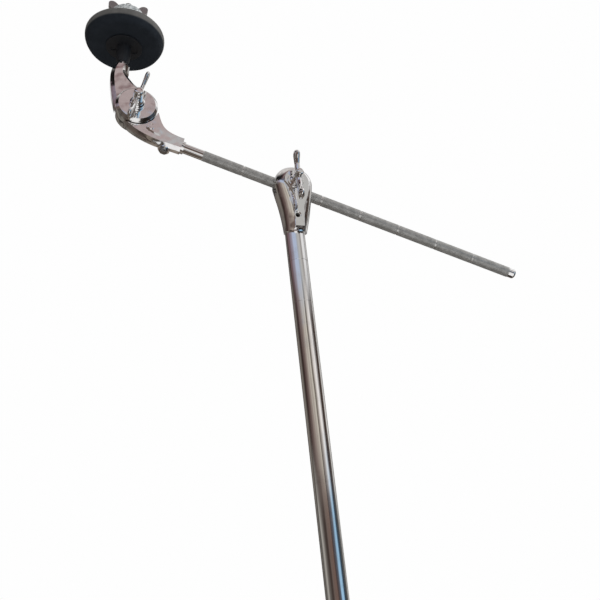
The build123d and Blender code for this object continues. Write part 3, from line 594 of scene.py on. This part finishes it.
def wing_bolt(label, sideways, start, neck, reach, span=31.0, lobe=1.0, thick=2.7, boss=6.0):
    """Cast wing bolt with its wings along the sideways direction, in millimetres.

    Its flange sits at the start along the joint's axis. The neck is the height of the bare boss, and the
    reach is the length of the shank."""
    joint = label + "_bolt_turn"
    top = neck + BOSS_RISE
    profile = rounded([
        (AXIS_R, -reach), (SHANK_R, -reach, 0.5), (SHANK_R, 0.0), (FLANGE_R, 0.05, 0.3), (FLANGE_R, 1.6, 0.6),
        (boss + 0.5, 2.2), (boss + 0.2, neck), (boss, neck + 6.0), (boss - 0.2, top, 0.5 * boss),
        (AXIS_R, top),
    ])
    mesh = fuse([lathe(profile, 48, closed=False), wing_shape(neck - 4.0, span, lobe, thick)])
    origin = joint_point(joint) + joint_axis(joint) * (start * MM)
    mesh.transform(axes(origin, joint_axis(joint), sideways))
    keep_piece(label + "_wings", mesh, chrome_cast, label + "_bolt", label + "_wing_bolt")


def turned_front(degrees):
    """Direction in the upright plane that faces the front, turned from +X towards +Z."""
    return Vector((math.cos(math.radians(degrees)), 0, math.sin(math.radians(degrees))))


wing_bolt("boom", turned_front(90), start=20.7, neck=4.0, reach=9.2, lobe=1.18, thick=3.6, boss=4.6)
wing_bolt("tilter", turned_front(69), start=18.7, neck=4.0, reach=35.8, span=33.0, lobe=0.95, thick=2.6,
          boss=5.6)
for label in ("base_clamp", "upper_clamp"):
    wing_bolt(label, turned_front(75), start=9.5, neck=14.0, reach=23.8)
wing_bolt("collar", Vector((0, 0.26, 0.966)), start=0.0, neck=4.0, reach=15.8)


# ---------------------------------------------------------------- studio
def share_round(degrees):
    """Degrees from the front, towards +X, as a share of the whole turn that starts at the back."""
    return (degrees + 180) / 360


def bands(stops):
    """Colour bands round the stand as (degrees from the front, red, green, blue) in 0 to 255, for a ramp."""
    return [(share_round(degrees), srgb(red, green, blue)) for degrees, red, green, blue in stops]


# what stands round the studio, seen in the metal only: low down, at mid height and high up
LOW_BANDS = [
    (-180, 84, 80, 78), (-163, 52, 48, 44), (-148, 120, 116, 110), (-131, 40, 38, 34), (-104, 172, 168, 162),
    (-80, 110, 105, 100), (-58, 60, 50, 46), (-38, 105, 92, 86), (-19, 112, 90, 82), (0, 72, 62, 60),
    (22, 84, 88, 98), (41, 166, 208, 240), (62, 36, 52, 66), (94, 92, 90, 86), (110, 214, 212, 210),
    (126, 64, 58, 54), (138, 214, 213, 210), (152, 224, 223, 221), (163, 84, 80, 78),
]
MID_BANDS = [
    (-180, 76, 72, 70), (-163, 54, 48, 44), (-148, 132, 126, 118), (-131, 98, 92, 87), (-104, 46, 34, 30),
    (-80, 84, 68, 65), (-58, 142, 128, 121), (-38, 152, 141, 133), (-14, 208, 202, 190), (1, 70, 60, 50),
    (18, 178, 170, 163), (38, 246, 243, 241), (62, 52, 40, 36), (94, 84, 74, 68), (110, 218, 216, 213),
    (126, 62, 56, 52), (138, 222, 220, 217), (152, 232, 231, 229), (163, 76, 72, 70),
]
HIGH_BANDS = [
    (-180, 72, 68, 66), (-163, 50, 44, 42), (-148, 124, 118, 114), (-131, 46, 36, 34), (-104, 108, 88, 90),
    (-80, 126, 112, 122), (-58, 152, 148, 162), (-38, 178, 190, 214), (-16, 172, 184, 206),
    (2, 168, 172, 178), (20, 186, 185, 182), (42, 130, 124, 122), (64, 240, 240, 240), (94, 176, 176, 178),
    (110, 222, 220, 218), (126, 66, 60, 58), (138, 220, 220, 220), (152, 230, 230, 230), (163, 72, 68, 66),
]
# higher still, seen in the flat faces of the tilter: first its lower faces, then its steeper ones
UPPER_BANDS = [
    (-180, 225, 225, 225), (-140, 190, 188, 188), (-110, 40, 36, 34), (-84, 24, 20, 20), (-60, 30, 26, 28),
    (-40, 20, 18, 20), (-22, 74, 60, 62), (-6, 140, 121, 121), (8, 164, 147, 147), (20, 176, 162, 161),
    (36, 130, 108, 104), (52, 250, 250, 250), (112, 248, 248, 248), (126, 70, 62, 60), (146, 215, 215, 215),
]
STEEP_BANDS = [
    (-180, 220, 220, 220), (-140, 170, 168, 168), (-110, 36, 32, 30), (-84, 22, 18, 18), (-60, 26, 22, 24),
    (-40, 20, 18, 20), (-22, 60, 46, 48), (-6, 96, 74, 76), (8, 112, 86, 88), (20, 128, 104, 104),
    (36, 96, 80, 78), (52, 246, 246, 246), (112, 244, 244, 244), (126, 70, 62, 60), (146, 205, 205, 205),
]
# the pale floor and the dark things on it, seen in the metal's undersides
UNDER_BANDS = [
    (-180, 96, 86, 80), (-163, 150, 140, 130), (-146, 60, 52, 46), (-110, 90, 80, 74), (-62, 104, 94, 88),
    (-50, 50, 42, 38), (-40, 132, 122, 112), (-30, 48, 42, 38), (-22, 240, 240, 240), (14, 242, 242, 242),
    (22, 56, 50, 48), (58, 30, 26, 24), (100, 66, 60, 58), (140, 120, 112, 104), (160, 52, 44, 40),
]
# heights in degrees between which one set of bands gives way to the next
UNDER_TO_LOW = (-30, -10)
LOW_TO_MID = (8, 15)
MID_TO_HIGH = (22, 27)
HIGH_TO_UPPER = (33.5, 37)
UPPER_TO_STEEP = (40, 44)
STEEP_TO_OVERHEAD = (48, 70)
DRIFT = 0.08                                    # how far a band wanders, as a share of the turn
CLOUD_RISE = 2.4                                # how far clouds shift the steep bands, in degrees
# blue window: the degrees over which each side fades, and the heights over which it fades in
WINDOW_LEFT = (-24, -14)
WINDOW_RIGHT = (2, 13)
WINDOW_SILL = (30, 32)


def metal_surroundings(graph, direction, parts):
    """What the chrome mirrors: bands of colour by height, with a blue window and a pale ceiling."""
    x, y, z = parts.outputs
    drift = graph.math("MULTIPLY_ADD", graph.noise(direction, 2.4, 2), 2 * DRIFT, -DRIFT)
    turn = graph.math("DIVIDE", graph.math("ARCTAN2", x, graph.math("MULTIPLY", y, -1.0)), 2 * math.pi)
    around = graph.math("ADD", graph.math("ADD", turn, 0.5), drift)
    height = graph.math("MULTIPLY", graph.math("ARCSINE", z), 180 / math.pi)
    low, middle, high, upper, steep, under = (graph.ramp(around, bands(stops)) for stops in (
        LOW_BANDS, MID_BANDS, HIGH_BANDS, UPPER_BANDS, STEEP_BANDS, UNDER_BANDS))
    sides = graph.mix(graph.step(height, *LOW_TO_MID), low, middle)
    sides = graph.mix(graph.step(height, *MID_TO_HIGH), sides, high)
    left_edge = graph.step(around, *map(share_round, WINDOW_LEFT))
    right_edge = graph.step(around, *map(share_round, WINDOW_RIGHT), 1.0, 0.0)
    panes = graph.math("MULTIPLY", left_edge, right_edge)
    window = graph.math("MULTIPLY", panes, graph.step(height, *WINDOW_SILL))
    sides = graph.mix(window, sides, srgb(146, 170, 214))
    sides = graph.mix(graph.step(height, *HIGH_TO_UPPER), sides, upper)
    cloud = graph.step(graph.noise(direction, 7.0, 3), 0.35, 0.65)
    clouded = graph.math("MULTIPLY_ADD", cloud, CLOUD_RISE, height)
    sides = graph.mix(graph.step(clouded, *UPPER_TO_STEEP), sides, steep)
    ceiling = graph.mix(graph.noise(direction, 3.0, 1), srgb(250, 248, 246), srgb(120, 110, 108))
    sides = graph.mix(graph.step(height, *STEEP_TO_OVERHEAD), sides, ceiling)
    return graph.mix(graph.step(height, *UNDER_TO_LOW), under, sides)


def soft_light(graph, parts):
    """Light on the matt pieces: bluish from below, and brighter from +X than from -X."""
    x, _, z = parts.outputs
    even = graph.mix(graph.step(z, -0.7, 0.7), (0.36, 0.43, 0.54), (1.15, 1.13, 1.1))
    dim = graph.mix(0.62, even, (0, 0, 0))
    lit = graph.mix(0.25, even, (2.2, 2.15, 2.1))
    return graph.mix(graph.step(x, -0.9, 0.9), dim, lit)


def build_world():
    world = bpy.data.worlds.new("studio")
    bpy.context.scene.world = world
    world.use_nodes = True
    tree = world.node_tree
    tree.nodes.clear()
    graph = Graph(tree)
    direction = graph.node("ShaderNodeTexCoord").outputs["Generated"]
    parts = graph.node("ShaderNodeSeparateXYZ")
    graph.feed(parts.inputs[0], direction)
    rays = graph.node("ShaderNodeLightPath")
    seen = graph.mix(rays.outputs["Is Glossy Ray"], soft_light(graph, parts),
                     metal_surroundings(graph, direction, parts))
    seen = graph.mix(rays.outputs["Is Camera Ray"], seen, srgb(254, 254, 254))
    background = graph.node("ShaderNodeBackground")
    graph.feed(background.inputs["Color"], seen)
    output = graph.node("ShaderNodeOutputWorld")
    graph.feed(output.inputs[0], background.outputs[0])


build_world()


def key_light(place, target, size, power):
    """Large soft lamp that the metal doesn't mirror."""
    light = bpy.data.lights.new("key", "AREA")
    light.size = size
    light.energy = power
    lamp = bpy.data.objects.new("key", light)
    lamp.location = place
    lamp.rotation_euler = (Vector(target) - Vector(place)).to_track_quat("-Z", "Y").to_euler()
    lamp.visible_glossy = False
    bpy.context.scene.collection.objects.link(lamp)


key_light((1.4, -1.6, 3.2), (0, 0, 0.9), 1.2, 35)

FLOOR_HALF = 15                                 # metres
floor_mesh = bpy.data.meshes.new("floor")
floor_corners = [(x * FLOOR_HALF, y * FLOOR_HALF, 0) for x, y in ((-1, -1), (1, -1), (1, 1), (-1, 1))]
floor_mesh.from_pydata(floor_corners, [], [(0, 1, 2, 3)])
floor_mesh.materials.append(plain("floor_paint", (0.82, 0.82, 0.82), 0.9))
floor = bpy.data.objects.new("floor", floor_mesh)
bpy.context.scene.collection.objects.link(floor)
floor.visible_glossy = False


# ---------------------------------------------------------------- camera
LENS = 48.0
SENSOR = 36.0
LOOK_AZIMUTH = math.radians(-18.846)
LOOK_ELEVATION = math.radians(-24.026)
LOOK_ROLL = math.radians(-6.609)
CAMERA_FROM_BOOM = Vector((-0.2580, -0.7475, -0.4936))    # from where the boom crosses the tube's axis


def build_camera():
    """Camera that looks up at the boom from below and in front."""
    data = bpy.data.cameras.new("camera")
    data.lens = LENS
    data.sensor_width = SENSOR
    data.clip_start = 0.01
    camera = bpy.data.objects.new("camera", data)
    bpy.context.scene.collection.objects.link(camera)
    back = Vector((math.sin(LOOK_AZIMUTH) * math.cos(LOOK_ELEVATION),
                   -math.cos(LOOK_AZIMUTH) * math.cos(LOOK_ELEVATION), math.sin(LOOK_ELEVATION)))
    right = Vector((math.cos(LOOK_AZIMUTH), math.sin(LOOK_AZIMUTH), 0))
    up = back.cross(right)
    rolled_right = math.cos(LOOK_ROLL) * right + math.sin(LOOK_ROLL) * up
    rolled_up = -math.sin(LOOK_ROLL) * right + math.cos(LOOK_ROLL) * up
    rise = PIVOT.x * -BOOM_AXIS.z / BOOM_AXIS.x
    crossing = Vector((0, 0, PIVOT.z + rise))
    turned = Matrix((rolled_right, rolled_up, back)).transposed().to_4x4()
    camera.matrix_world = Matrix.Translation(crossing + CAMERA_FROM_BOOM) @ turned
    bpy.context.scene.camera = camera


build_camera()
bpy.context.scene.view_settings.view_transform = "Standard"
